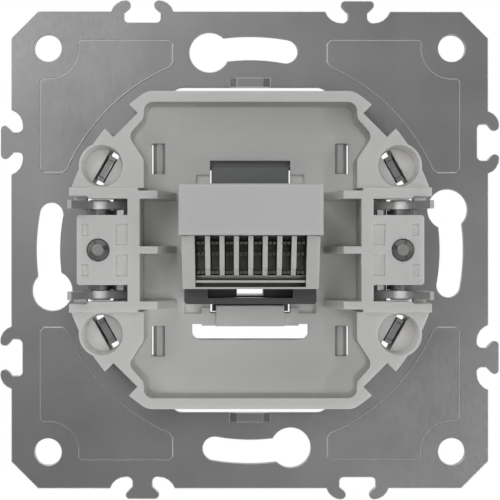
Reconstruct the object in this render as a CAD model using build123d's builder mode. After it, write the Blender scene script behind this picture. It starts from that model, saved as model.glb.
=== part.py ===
from build123d import *
import os
from math import acos, atan, cos, degrees, radians, sin, tan

# Flush-mounted data socket insert, modelled as it sits in its wall box.
# Millimetres. X runs to the right as seen from the wall, Z up, and the room lies at +Y.
# Depths are counted from the plate's rear face into the wall box, so depth = -Y.

# Mounting plate: pressed steel
plate_side = 70.9
plate_thickness = 1.0
corner_chamfer = 4.0
wall_hole_pitch = 60.0
corner_hole_d = 4.0

# Arc-shaped keyholes on the screw circle
keyhole_radius = 30.0
keyhole_width = 3.55
keyhole_head_d = 5.95
keyhole_head_angle = 11.6
keyhole_end_angle = 10.1

# Interlocking couplings that gang plates side by side
coupling_offset = 16.0
hook_root = 4.65
hook_tip_x = 2.42
hook_tip_y = 0.97
hook_tip_r = 0.70
hook_tip_end_angle = 50.0
socket_half = 2.69
socket_depth = 1.64
socket_corner_r = 0.65
notch_half = 4.80
notch_side_x = 3.80
notch_side_y = 1.30
notch_foot_x = 2.40
notch_depth = 1.70
notch_corner_x = 1.72
notch_corner_y = 1.50
neck_half = 1.48
neck_low = 1.00
neck_high = 0.27
tongue_flare_x = 2.26
tongue_flare_y = 0.50
tongue_half = 2.49
tongue_side_y = 0.96
tongue_shoulder_x = 1.95
tongue_reach = 1.57
coupling_root = 0.30
bend_chords = 4

# Coined corner panels
panel_step = 0.20
panel_outer = 31.2
panel_inner = 11.5
panel_arc_r = 29.7
panel_hole_r = 4.55
panel_corner = 0.5

# Central cut-out of the plate
cutout_half_height = 24.15
cutout_neck_half = 11.8
cutout_neck_r = 1.8
cutout_bay_half = 15.6
cutout_bay_height = 18.5
cutout_bay_r = 3.0

# Small pressed bridges above and below the cut-out
bridge_half = 1.95
bridge_ramp = 1.05
bridge_height = 0.45
bridge_top = 25.6

# Claw windows of the plate
claw_window_inner = 20.3
claw_window_outer = 24.1
claw_window_low = 4.76
claw_window_high = 7.70

# Bent tabs of the plate that hold the base
tab_radius = 24.0
tab_angle = 29.4
tab_length = 4.0
tab_root = 0.95
tab_thickness = 1.0
tab_height = 6.2
tab_notch_length = 2.8
tab_notch_depth = 0.5
tab_window_length = 5.6
tab_window_end = 24.85
tab_slot_length = 5.4
tab_slot_width = 1.60

# Base: moulded tray
base_radius = 27.05
base_half_height = 22.7
base_corner_r = 2.6
floor_thickness = 1.8
rim_depth = 11.0
rim_wall = 1.55
corner_notch_length = 4.85
corner_notch_radius = 25.2
pillar_x = 15.23
pillar_z = 12.92
shoulder_x = 17.46
shoulder_z = 16.33
shoulder_top_z = 18.83
tray_corner_r = 1.3
recess_x = 21.19
recess_z = 12.02
recess_top_r = 3.0
recess_floor_r = 2.67
recess_depth = 6.6
recess_facets = 20
recess_wall_r = 3.3

# Ribs and claw bays of the base
rib_depth = 13.0
guide_rib_inner = 7.29
guide_rib_outer = 8.85
guide_rib_end = 25.69
guide_rib_flat_end = 13.2
guide_rib_slope_end = 10.9
guide_rib_step_x = 23.2
guide_rib_step = 0.36
rib_narrow_x = 16.0
rib_narrow_z = 8.42
rib_slope_depth = 3.0
post_rib_inner = 15.71
post_rib_outer = 17.42
divider_half = 0.53
block_outer = 24.6
block_half = 4.96
block_wall = 0.70
block_roof = 1.4
block_corner = 0.3
block_pocket_depth = 0.6
boss_r = 2.45
pocket_outer_low = 22.95
pocket_outer_high = 23.90
pocket_outer_z = 2.0
pocket_inner_high = 19.10
pocket_inner_z = 0.70
pocket_top = 3.70
ledge_end = 19.6
ledge_slope = 0.449
relief_inner = 19.7
relief_outer = 24.3
relief_side = 7.65
relief_depth = 7.0

# Openings in the base floor
snap_window_edge = 1.05
snap_window_width = 1.95
snap_window_outer = cutout_bay_half - snap_window_edge
snap_window_inner = snap_window_outer - snap_window_width
snap_window_low = 11.23
snap_window_high = 15.70
jack_window_half = 5.93
jack_window_top = 13.18
jack_window_bottom = 9.26
jack_opening_half = 7.60
jack_opening_top = 8.40
jack_opening_bottom = 7.85
slot_half = 8.65
slot_top = 10.93
slot_middle_half = 7.17
slot_middle_drop = 0.25
slot_bottom = 13.25
slot_corner_r = 1.3
catch_half = 5.02
catch_top = 8.20
catch_bottom = 11.25
catch_rise = 0.5
catch_gap = 0.10
side_pocket_inner = 7.20
side_pocket_outer = 9.67
side_pocket_bottom = 9.36
side_pad_bottom = 8.53
side_pocket_depth = 0.8
top_pocket_outer = 7.98
top_pocket_low = 9.7
top_pocket_high = 11.1

# Claws, their cross nuts and screws
claw_axis_x = 21.6
nut_rest_depth = 9.0
nut_neck_r = 2.0
nut_neck_half = 5.7
nut_trunnion_r = 1.50
nut_half_length = 7.15
running_gap = 0.05
claw_sheet = 1.15
claw_inner = 5.80
claw_heel_depth = 3.0
claw_heel_radius = 3.84
claw_bridge_inner = 2.45
claw_bridge_outer = 3.40
claw_bridge_low = 1.70
claw_bridge_high = 0.30
claw_eye_r = 2.2
claw_eye_front = 1.4
claw_eye_horn = 0.9
claw_eye_low = 1.7
claw_eye_foot = 0.62
claw_tip_inner = 3.3
claw_tip_reach = 3.9
claw_tip_rise = 9.0
claw_tip_slope = 0.4
claw_tooth = 0.4
claw_tooth_pitch = 0.9
heel_gap = 0.25
screw_r = 1.5
screw_end_depth = 13.4
screw_point = 0.5
screw_point_r = 0.78
screw_head_r = 2.75
screw_head_height = 1.8
screw_head_edge = 0.5
screw_slot_width = 0.7
screw_slot_depth = 0.9
screw_hole_r = 1.7
screw_guide_r = 1.62

# Front holder that snaps through the floor of the base
holder_edge_gap = 0.40
holder_half_width = cutout_bay_half - holder_edge_gap
holder_half_height = cutout_bay_height - holder_edge_gap
holder_thickness = 2.6
holder_corner_r = 2.6
collar_wall = 1.4
collar_height = 5.0
collar_bottom = 9.60
holder_gap = 0.10
tongue_gap = 0.22
tongue_side_gap = 0.04
tongue_lead = 0.4
tongue_hook_width = 0.6
tongue_hook_height = 0.9
lip_window_gap = 0.3
snap_tongue_top = 1.5

# Jack: dark housing
housing_front_depth = -8.4
housing_front_half = 7.4
housing_front_top = 8.2
housing_front_bottom = 7.7
housing_rear_half = 9.5
housing_rear_top = 8.9
housing_rear_bottom = 7.78
housing_rear_depth = 9.0
housing_corner_r = 0.5
lip_root_inset = 0.2
port_half = 5.95
port_top = 2.7
port_bottom = 4.2
latch_wide_half = 3.1
latch_wide_bottom = 5.45
latch_half = 1.96
latch_bottom = 6.65
rear_pocket_half = 6.1
rear_pocket_bottom = 6.9
rear_pocket_depth = 4.0
carrier_cavity_half = 5.7
carrier_cavity_top = 7.7
front_wall = 1.4
top_latch_half = 5.73
top_latch_top = 12.25
top_latch_low_depth = -0.4
top_latch_high_depth = 0.9
top_lip_half = 6.6
top_lip_low = 11.9
top_lip_high = 13.6
top_lip_low_depth = -1.7
bottom_lip_half = 5.63
bottom_lip_bottom = 9.04
bottom_lip_low_depth = -1.2
bottom_lip_high_depth = 0.9

# Contacts inside the port
way_count = 8
contact_pitch = 1.02
contact_d = 0.46
contact_sides = 6
contact_level = 5.2
contact_bend_depth = -5.9
contact_tip_depth = 0.8
contact_tip_z = 0.9
carrier_half = 5.6
carrier_low = 4.95
carrier_high = 7.6
carrier_front_depth = -4.6
carrier_groove = 0.56

# Circuit board
board_half = 8.8
board_top = 8.4
board_bottom = 4.75
board_thickness = 1.2
board_gap = 0.05
board_hole = 0.56

# Insulation-displacement terminal block
terminal_half = 9.59
terminal_neck_half = 8.7
terminal_top = 7.95
terminal_bottom = 5.5
terminal_rear_depth = 20.0
terminal_low_depth = 14.3
terminal_step_z = 1.95
terminal_pocket = 0.2
terminal_pitch = 2.0
fin_thickness = 0.7
fin_foot_bottom = 3.60
fin_foot_drop = 1.0
comb_overlap = 0.2
comb_half = 7.78
comb_bottom = 5.20
comb_floor_depth = 11.6
comb_reach = 1.6
terminal_skirt_top = 8.85
fin_bottom = 2.60
sill_top = 3.55
sill_bottom = 4.60
sill_drop = 1.2
sill_lip = 0.35

# Insulation-displacement contacts
fork_width = 1.04
fork_sheet = 0.40
fork_upper_z = 1.17
fork_lower_z = -3.35
fork_middle_shift = 0.55
fork_inset = 0.9
fork_slit = 0.12
fork_slit_depth = 2.4
pin_half = 0.25
pin_gap = 0.02

# Rear cap
cap_half = 9.94
cap_top = 9.10
cap_bottom = 2.02
cap_depth = 22.0
cap_wall = 1.1
cap_front_depth = 10.6
cap_gap = 0.08
cap_edge = 0.3

SIDES = {"left": -1, "right": 1}
QUADRANTS = [(1, 1), (-1, 1), (-1, -1), (1, -1)]
TAB_ANGLES = (tab_angle, 180 - tab_angle, 180 + tab_angle, -tab_angle)
plate_half = plate_side / 2
os.makedirs("parts", exist_ok=True)
terminal_floor = housing_rear_depth
board_rear_depth = terminal_floor + board_gap + board_thickness
heel_edge = (claw_heel_radius**2 - claw_heel_depth**2) ** 0.5
fork_middle_z = (fork_upper_z + fork_lower_z) / 2 + fork_middle_shift


def rear(depth):
    """Sketch plane that faces the wall box at this depth behind the plate."""
    return Plane.XZ.offset(depth)


def finish(builder, name):
    """Name the finished piece and write it out."""
    builder.part.label = name
    export_step(builder.part, f"parts/{name}.step")


def corners(x, z):
    """The point (x, z) and its mirror images in the other three quadrants."""
    return [(sx * x, sz * z) for sx, sz in QUADRANTS]


def span(x_low, x_high, z_low, z_high):
    """A private rectangle of a sketch between these limits."""
    with BuildSketch() as sheet:
        with Locations(((x_low + x_high) / 2, (z_low + z_high) / 2)):
            Rectangle(x_high - x_low, z_high - z_low)
    return sheet.sketch


def bend(start, via, end):
    """The small arc through three points of a pressed outline, as a few chords."""
    arc = ThreePointArc(start, via, end, mode=Mode.PRIVATE)
    Polyline(*[arc @ (step / bend_chords) for step in range(bend_chords + 1)])


def hook_pair():
    """Both hooked arms of a coupling, x along the plate's edge and y outward."""
    angle = radians(hook_tip_end_angle)
    root = (-hook_root, 0)
    top = (-hook_tip_x, hook_tip_y + hook_tip_r)
    nose = (-hook_tip_x + hook_tip_r, hook_tip_y)
    heel = (-hook_tip_x + hook_tip_r * cos(angle), hook_tip_y - hook_tip_r * sin(angle))
    flank_y = heel[1] - (heel[0] + socket_half) * tan(radians(90 - hook_tip_end_angle))
    with BuildSketch() as pair:
        with BuildLine():
            shoulder = TangentArc(top, root, tangent=(-1, 0), mode=Mode.PRIVATE)
            bend(top, shoulder @ 0.5, root)
            bend(top, nose, heel)
            flank = (-socket_half, flank_y)
            Polyline(heel, flank, (-socket_half, -coupling_root), (root[0], -coupling_root), root)
        make_face()
        mirror(about=Plane.YZ)
    return pair.sketch


def notch_pair():
    """Both notches beside a tongue's neck, which take the hooks of the next plate."""
    with BuildSketch() as pair:
        with BuildLine():
            bend((notch_half, 0), (notch_side_x, -notch_side_y), (notch_foot_x, -notch_depth))
            bend((notch_foot_x, -notch_depth), (notch_corner_x, -notch_corner_y), (neck_half, -neck_low))
            shoulder = (neck_half + neck_high, 0)
            Polyline((neck_half, -neck_low), (neck_half, -neck_high), shoulder, (notch_half, 0))
        make_face()
        mirror(about=Plane.YZ)
    return pair.sketch


def tongue_head():
    """The flared head of a tongue, beyond its neck."""
    with BuildSketch() as head:
        with BuildLine():
            Polyline((0, -neck_high), (neck_half, -neck_high), (tongue_flare_x, tongue_flare_y))
            flare = (tongue_flare_x, tongue_flare_y)
            bend(flare, (tongue_half, tongue_side_y), (tongue_shoulder_x, tongue_reach))
            Polyline((tongue_shoulder_x, tongue_reach), (0, tongue_reach), (0, -neck_high))
        make_face()
        mirror(about=Plane.YZ)
    return head.sketch


def at_edge(shape, x):
    """A coupling sketch moved to the plate's upper edge at x."""
    return shape.moved(Location((x, plate_half, 0)))


# Mounting plate: one pressing, with the same quarter turned about the centre four times
with BuildSketch() as socket_shape:
    Rectangle(2 * socket_half, 2 * socket_depth)
    fillet(socket_shape.vertices().group_by(Axis.Y)[0], socket_corner_r)

with BuildSketch() as keyhole:
    sweep_angle = keyhole_head_angle + keyhole_end_angle
    SlotArc(CenterArc((0, 0), keyhole_radius, -keyhole_end_angle, sweep_angle), keyhole_width)
    head_angle = radians(keyhole_head_angle)
    with Locations((keyhole_radius * cos(head_angle), keyhole_radius * sin(head_angle))):
        Circle(keyhole_head_d / 2)

with BuildSketch() as panel:
    add(span(panel_inner, panel_outer, panel_inner, panel_outer))
    Circle(panel_arc_r, mode=Mode.SUBTRACT)
    with Locations((wall_hole_pitch / 2, wall_hole_pitch / 2)):
        Circle(panel_hole_r, mode=Mode.SUBTRACT)
    chamfer(panel.face().outer_wire().vertices(), panel_corner)

with BuildPart() as mounting_plate:
    with BuildSketch(rear(-plate_thickness)) as blank:
        Rectangle(plate_side, plate_side)
        chamfer(blank.vertices(), corner_chamfer)
        with PolarLocations(0, 4):
            add(at_edge(socket_shape.sketch, -coupling_offset), mode=Mode.SUBTRACT)
            add(at_edge(hook_pair(), -coupling_offset))
            add(at_edge(notch_pair(), coupling_offset), mode=Mode.SUBTRACT)
            add(at_edge(tongue_head(), coupling_offset))
        with GridLocations(wall_hole_pitch, wall_hole_pitch, 2, 2):
            Circle(corner_hole_d / 2, mode=Mode.SUBTRACT)
        with PolarLocations(0, 4):
            add(keyhole.sketch, mode=Mode.SUBTRACT)
    extrude(amount=plate_thickness)
    # Bridges pressed up beside the cut-out
    with BuildSketch(Plane.XY.offset(-bridge_top)):
        with BuildLine():
            Polyline(
                (-bridge_half - bridge_ramp, plate_thickness / 2),
                (-bridge_half - bridge_ramp, 0),
                (-bridge_half, -bridge_height),
                (bridge_half, -bridge_height),
                (bridge_half + bridge_ramp, 0),
                (bridge_half + bridge_ramp, plate_thickness / 2),
                close=True,
            )
        make_face()
    extrude(amount=2 * bridge_top)
    # Central cut-out, claw windows and screw holes
    with BuildSketch(rear(-plate_thickness)):
        with BuildSketch(mode=Mode.PRIVATE) as neck:
            Rectangle(2 * cutout_neck_half, 2 * cutout_half_height)
            fillet(neck.vertices(), cutout_neck_r)
        with BuildSketch(mode=Mode.PRIVATE) as bay:
            Rectangle(2 * cutout_bay_half, 2 * cutout_bay_height)
            fillet(bay.vertices(), cutout_bay_r)
        add(neck.sketch)
        add(bay.sketch)
        for sx, sz in QUADRANTS:
            window_x = sorted((sx * claw_window_inner, sx * claw_window_outer))
            add(span(*window_x, *sorted((sz * claw_window_low, sz * claw_window_high))))
        with Locations((claw_axis_x, 0), (-claw_axis_x, 0)):
            Circle(screw_hole_r)
        window_start = tab_radius - tab_thickness / 2 - tab_height
        tab_half_window = tab_window_length / 2
        for angle in TAB_ANGLES:
            with Locations(Location((0, 0, 0), (0, 0, angle))):
                add(span(window_start, tab_window_end, -tab_half_window, tab_half_window))
    extrude(amount=plate_thickness + bridge_height, mode=Mode.SUBTRACT)
    # Tabs bent square to the plate, notched between two horns
    tab_half = tab_length / 2
    tab_inner = tab_radius - tab_thickness / 2
    with BuildSketch(rear(-plate_thickness)):
        for angle in TAB_ANGLES:
            with Locations(Location((0, 0, 0), (0, 0, angle))):
                add(span(tab_inner, tab_radius + tab_root, -tab_half, tab_half))
    extrude(amount=plate_thickness)
    with BuildSketch(rear(0)):
        for angle in TAB_ANGLES:
            with Locations(Location((0, 0, 0), (0, 0, angle))):
                add(span(tab_inner, tab_inner + tab_thickness, -tab_half, tab_half))
    extrude(amount=tab_height)
    with BuildSketch(rear(tab_height - tab_notch_depth)):
        for angle in TAB_ANGLES:
            with Locations(Location((0, 0, 0), (0, 0, angle))):
                with Locations((tab_radius, 0)):
                    Rectangle(3 * tab_thickness, tab_notch_length)
    extrude(amount=tab_notch_depth, mode=Mode.SUBTRACT)
    # Coined corner panels: raised behind, sunk in front
    with BuildSketch(rear(0)):
        with PolarLocations(0, 4):
            add(panel.sketch)
    extrude(amount=panel_step)
    with BuildSketch(rear(-plate_thickness)):
        with PolarLocations(0, 4):
            add(panel.sketch)
    extrude(amount=panel_step, mode=Mode.SUBTRACT)
finish(mounting_plate, "mounting_plate")

# Base: a moulded tray with four corner pillars, two claw bays and a jack opening
with BuildSketch() as base_outline:
    Circle(base_radius)
    Rectangle(3 * base_radius, 2 * base_half_height, mode=Mode.INTERSECT)
    fillet(base_outline.vertices(), base_corner_r)
    with Locations(*corners(recess_x, recess_z)):
        Circle(recess_wall_r)
    for angle in (45, 135, 225, 315):
        with Locations(Location((0, 0, 0), (0, 0, angle))):
            with Locations((corner_notch_radius + corner_notch_length / 2, 0)):
                Rectangle(corner_notch_length, corner_notch_length, mode=Mode.SUBTRACT)
tray_top = base_half_height - rim_wall
recess_taper = degrees(atan((recess_top_r - recess_floor_r) / (rim_depth - recess_depth)))
with BuildSketch() as tray_quarter:
    with BuildLine():
        Polyline(
            (0, 0),
            (0, tray_top),
            (pillar_x, tray_top),
            (pillar_x, shoulder_top_z),
            (shoulder_x, shoulder_z),
            (pillar_x, pillar_z),
            (pillar_x, 0),
            close=True,
        )
    make_face()
    rounded = [v for v in tray_quarter.vertices() if v.X > pillar_x - 1 and v.Y > pillar_z - 1]
    fillet(rounded, tray_corner_r)
with BuildSketch() as tray:
    add(tray_quarter.sketch)
    mirror(about=Plane.YZ)
    mirror(about=Plane.XZ)

with BuildPart() as base_housing:
    with BuildSketch(rear(0)):
        add(base_outline.sketch)
    extrude(amount=rim_depth)
    with BuildSketch(rear(floor_thickness)):
        add(tray.sketch)
        Rectangle(3 * base_radius, 2 * guide_rib_outer)
    extrude(amount=rim_depth, mode=Mode.SUBTRACT)
    # The base stops short of the claws on both sides
    with BuildSketch(rear(0)):
        for side in SIDES.values():
            x_limits = sorted((side * block_outer, side * 2 * base_radius))
            add(span(*x_limits, -guide_rib_inner, guide_rib_inner))
            bay_limits = sorted((side * post_rib_outer, side * 2 * base_radius))
            add(span(*bay_limits, block_half, guide_rib_inner))
            add(span(*bay_limits, -guide_rib_inner, -block_half))
    extrude(amount=floor_thickness, mode=Mode.SUBTRACT)
    # Guide ribs: full height beside the claws, sloping down towards the jack
    for side in SIDES.values():
        for low in (guide_rib_inner, -guide_rib_outer):
            with BuildSketch(Plane.XY.offset(low)):
                with BuildLine():
                    Polyline(
                        (side * guide_rib_slope_end, 0),
                        (side * guide_rib_end, 0),
                        (side * guide_rib_end, -rib_depth),
                        (side * guide_rib_flat_end, -rib_depth),
                        (side * guide_rib_slope_end, -rib_slope_depth),
                        close=True,
                    )
                make_face()
            extrude(amount=guide_rib_outer - guide_rib_inner)
            # Towards the jack the rib is thinner
            with BuildSketch(rear(floor_thickness)):
                narrow = sorted((side * guide_rib_slope_end, side * rib_narrow_x))
                add(span(*narrow, rib_narrow_z, guide_rib_outer))
                add(span(*narrow, -guide_rib_outer, -rib_narrow_z))
            extrude(amount=rib_depth, mode=Mode.SUBTRACT)
        # Divider rib between the two pockets beside the jack
        with BuildSketch(Plane.XY.offset(-divider_half)):
            with BuildLine():
                Polyline(
                    (side * guide_rib_slope_end, 0),
                    (side * post_rib_outer, 0),
                    (side * post_rib_outer, -rib_depth),
                    (side * guide_rib_flat_end, -rib_depth),
                    (side * guide_rib_slope_end, -rib_slope_depth),
                    close=True,
                )
            make_face()
        extrude(amount=2 * divider_half)
    # Post ribs, and the blocks that roof over the cross nuts
    with BuildSketch(rear(0)):
        for side in SIDES.values():
            post = sorted((side * post_rib_inner, side * post_rib_outer))
            add(span(*post, -guide_rib_inner, guide_rib_inner))
    extrude(amount=rib_depth)
    with BuildSketch(rear(0)) as blocks:
        for side in SIDES.values():
            add(span(*sorted((side * post_rib_outer, side * block_outer)), -block_half, block_half))
        outer_corners = blocks.vertices().group_by(SortBy.DISTANCE)[-1]
        chamfer(outer_corners, block_corner)
    extrude(amount=rib_depth)
    with BuildSketch(rear(floor_thickness)):
        for side in SIDES.values():
            hollow = sorted((side * post_rib_outer, side * (block_outer - block_wall)))
            add(span(*hollow, -block_half, block_half))
    extrude(amount=rib_depth - block_roof - floor_thickness, mode=Mode.SUBTRACT)
    # Sloping ledges that the claws' heels slide on
    heel_x = claw_axis_x - heel_edge
    ledge_level = nut_rest_depth - claw_heel_depth - heel_gap
    for side in SIDES.values():
        for low in (block_half, -guide_rib_inner):
            with BuildSketch(Plane.XY.offset(low)):
                with BuildLine():
                    Polyline(
                        (side * post_rib_outer, 0),
                        (side * ledge_end, 0),
                        (side * ledge_end, -ledge_level - ledge_slope * (heel_x - ledge_end)),
                        (side * post_rib_outer, -ledge_level - ledge_slope * (heel_x - post_rib_outer)),
                        close=True,
                    )
                make_face()
            extrude(amount=guide_rib_inner - block_half)
    # Reliefs in the guide ribs beside the claws' arms
    with BuildSketch(rear(0)):
        for sx, sz in QUADRANTS:
            relief_x = sorted((sx * relief_inner, sx * relief_outer))
            add(span(*relief_x, *sorted((sz * guide_rib_inner, sz * relief_side))))
    extrude(amount=relief_depth, mode=Mode.SUBTRACT)
    # Screw passages through floor and roof
    with BuildSketch(rear(0)):
        with Locations((claw_axis_x, 0), (-claw_axis_x, 0)):
            Circle(screw_hole_r)
    extrude(amount=floor_thickness, mode=Mode.SUBTRACT)
    with BuildSketch(rear(rib_depth - block_roof)):
        with Locations((claw_axis_x, 0), (-claw_axis_x, 0)):
            Circle(screw_guide_r)
    extrude(amount=block_roof, mode=Mode.SUBTRACT)
    # Cored pockets in the roofs, clear of the screw boss
    with BuildSketch(rear(rib_depth - block_pocket_depth)):
        for sx, sz in QUADRANTS:
            outer = sorted((sx * pocket_outer_low, sx * pocket_outer_high))
            inner = sorted((sx * post_rib_outer, sx * pocket_inner_high))
            add(span(*outer, *sorted((sz * pocket_outer_z, sz * pocket_top))))
            add(span(*inner, *sorted((sz * pocket_inner_z, sz * pocket_top))))
        with Locations((claw_axis_x, 0), (-claw_axis_x, 0)):
            Circle(boss_r, mode=Mode.SUBTRACT)
    extrude(amount=block_pocket_depth, mode=Mode.SUBTRACT)
    # Guide ribs are thinner beyond the step
    for sx, sz in QUADRANTS:
        with BuildSketch(rear(floor_thickness)):
            with BuildLine():
                Polyline(
                    (sx * (guide_rib_step_x - guide_rib_step), sz * guide_rib_inner),
                    (sx * guide_rib_step_x, sz * (guide_rib_inner + guide_rib_step)),
                    (sx * 2 * guide_rib_end, sz * (guide_rib_inner + guide_rib_step)),
                    (sx * 2 * guide_rib_end, sz * guide_rib_inner),
                    close=True,
                )
            make_face()
        extrude(amount=rib_depth, mode=Mode.SUBTRACT)
    # Round recesses over the plate's tabs, and the slots that the tabs come through
    with BuildSketch(rear(rim_depth)):
        with Locations(*corners(recess_x, recess_z)):
            RegularPolygon(recess_top_r, recess_facets)
    extrude(amount=recess_depth - rim_depth, taper=recess_taper, mode=Mode.SUBTRACT)
    with BuildSketch(rear(0)):
        for angle in TAB_ANGLES:
            with Locations(Location((0, 0, 0), (0, 0, angle))):
                with Locations((tab_radius, 0)):
                    Rectangle(tab_slot_width, tab_slot_length)
    extrude(amount=recess_depth, mode=Mode.SUBTRACT)
    # Windows in the floor: snap tongues, jack with its two catches, and the long slot
    with BuildSketch(rear(0)):
        for sx, sz in QUADRANTS:
            window_x = sorted((sx * snap_window_inner, sx * snap_window_outer))
            add(span(*window_x, *sorted((sz * snap_window_low, sz * snap_window_high))))
        add(span(-jack_window_half, jack_window_half, -jack_window_bottom, jack_window_top))
        add(span(-jack_opening_half, jack_opening_half, -jack_opening_bottom, jack_opening_top))
        with BuildSketch(mode=Mode.PRIVATE) as long_slot:
            add(span(-slot_half, slot_half, -slot_bottom, -slot_top))
            fillet(long_slot.vertices().group_by(Axis.Y)[0], slot_corner_r)
        add(long_slot.sketch)
        middle_low = -slot_top - slot_middle_drop
        middle_high = -slot_top + slot_middle_drop
        middle = span(-slot_middle_half, slot_middle_half, middle_low, middle_high)
        add(middle, mode=Mode.SUBTRACT)
    extrude(amount=floor_thickness, mode=Mode.SUBTRACT)
    # Shallow pockets beside the jack
    with BuildSketch(rear(floor_thickness - side_pocket_depth)):
        for sx in SIDES.values():
            pad_pocket = sorted((sx * jack_window_half, sx * side_pocket_outer))
            add(span(*pad_pocket, -side_pad_bottom, -jack_opening_bottom))
            low_pocket = sorted((sx * side_pocket_inner, sx * side_pocket_outer))
            add(span(*low_pocket, -side_pocket_bottom, -jack_opening_bottom))
            high_pocket = sorted((sx * jack_window_half, sx * top_pocket_outer))
            add(span(*high_pocket, top_pocket_low, top_pocket_high))
    extrude(amount=side_pocket_depth, mode=Mode.SUBTRACT)
    # Spring catch that grips the jack's lower lip
    with BuildSketch(rear(bottom_lip_high_depth + catch_gap)):
        add(span(-catch_half, catch_half, -catch_bottom, -catch_top))
    extrude(amount=floor_thickness + catch_rise - bottom_lip_high_depth - catch_gap)
finish(base_housing, "base_housing")

# Claws: a cross nut on each screw draws a two-armed claw against its ledges
trunnion_seat = nut_trunnion_r + running_gap
for name, side in SIDES.items():
    axis_x = side * claw_axis_x
    nut_centre = (axis_x, -nut_rest_depth, 0)

    # Cross nut: a stepped pin with rounded ends, threaded across its middle
    with BuildPart() as cross_nut:
        with BuildSketch(Plane(nut_centre, x_dir=(1, 0, 0), z_dir=(0, -1, 0))):
            with BuildLine():
                Polyline(
                    (0, 0),
                    (nut_neck_r, 0),
                    (nut_neck_r, nut_neck_half),
                    (nut_trunnion_r, nut_neck_half),
                    (nut_trunnion_r, nut_half_length),
                    (0, nut_half_length),
                    close=True,
                )
            make_face()
        revolve(axis=Axis(nut_centre, (0, 0, 1)))
        mirror(about=Plane.XY)
        with BuildSketch(rear(nut_rest_depth - 2 * nut_neck_r)):
            with Locations((axis_x, 0)):
                Circle(screw_r + running_gap)
        extrude(amount=4 * nut_neck_r, mode=Mode.SUBTRACT)
    finish(cross_nut, f"claw_nut_{name}")

    # Screw: slotted pan head in front of the plate, pointed end behind the block
    with BuildPart() as screw:
        with BuildSketch(rear(-plate_thickness - screw_head_height)):
            with Locations((axis_x, 0)):
                Circle(screw_head_r)
        extrude(amount=screw_head_height)
        chamfer(screw.edges().sort_by(Axis.Y)[-1], screw_head_edge)
        with BuildSketch(rear(-plate_thickness)):
            with Locations((axis_x, 0)):
                Circle(screw_r)
        extrude(amount=screw_end_depth + plate_thickness)
        chamfer(screw.edges().sort_by(Axis.Y)[0], screw_r - screw_point_r, screw_point)
        with BuildSketch(rear(-plate_thickness - screw_head_height)):
            with Locations((axis_x, 0)):
                Rectangle(screw_slot_width, 3 * screw_head_r)
        extrude(amount=screw_slot_depth, mode=Mode.SUBTRACT)
    finish(screw, f"claw_screw_{name}")

    # Claw: two arms gripped on the trunnions, joined by a strip bent across behind the screw
    def at(x, rise):
        """A point of the arm's outline: x inward from the nut, rise towards the wall box."""
        return (axis_x - side * x, -nut_rest_depth - rise)

    def on_eye(x, half=1):
        """The point of the eye's circle at x, on its upper or its lower half."""
        return at(x, half * (claw_eye_r**2 - x**2) ** 0.5)

    heel_middle = (radians(90) - acos(claw_heel_depth / claw_heel_radius)) / 2
    with BuildPart() as claw:
        for low in (claw_inner, -claw_inner - claw_sheet):
            with BuildSketch(Plane.XY.offset(low)):
                with BuildLine():
                    ThreePointArc(
                        at(heel_edge, -claw_heel_depth),
                        at(claw_heel_radius * cos(heel_middle), -claw_heel_radius * sin(heel_middle)),
                        at(claw_heel_radius, 0),
                    )
                    Line(at(claw_heel_radius, 0), on_eye(claw_eye_front))
                    ThreePointArc(on_eye(claw_eye_front), at(0, claw_eye_r), on_eye(-claw_eye_horn))
                    Polyline(
                        on_eye(-claw_eye_horn),
                        at(-claw_tip_inner, claw_tip_rise),
                        at(-claw_tip_reach, claw_tip_rise - claw_tip_slope),
                        at(-claw_tip_reach + claw_tooth, claw_tip_rise - claw_tooth_pitch),
                        at(-claw_tip_reach, claw_tip_rise - claw_tip_slope - claw_tooth_pitch),
                        at(-claw_tip_reach + claw_tooth, claw_tip_rise - 2 * claw_tooth_pitch),
                        at(-claw_eye_r, 0),
                    )
                    ThreePointArc(at(-claw_eye_r, 0), on_eye(-claw_eye_low, -1), on_eye(-claw_eye_foot, -1))
                    Line(on_eye(-claw_eye_foot, -1), at(heel_edge, -claw_heel_depth))
                make_face()
                with Locations(at(0, 0)):
                    Circle(trunnion_seat, mode=Mode.SUBTRACT)
            extrude(amount=claw_sheet)
        strip_x = (claw_bridge_inner + claw_bridge_outer) / 2
        strip_rise = (claw_bridge_high - claw_bridge_low) / 2
        with BuildSketch(Plane.XY.offset(-claw_inner - claw_sheet / 2)):
            with Locations(at(strip_x, strip_rise)):
                Rectangle(claw_bridge_outer - claw_bridge_inner, claw_bridge_high + claw_bridge_low)
        extrude(amount=2 * claw_inner + claw_sheet)
    finish(claw, f"claw_{name}")

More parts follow.
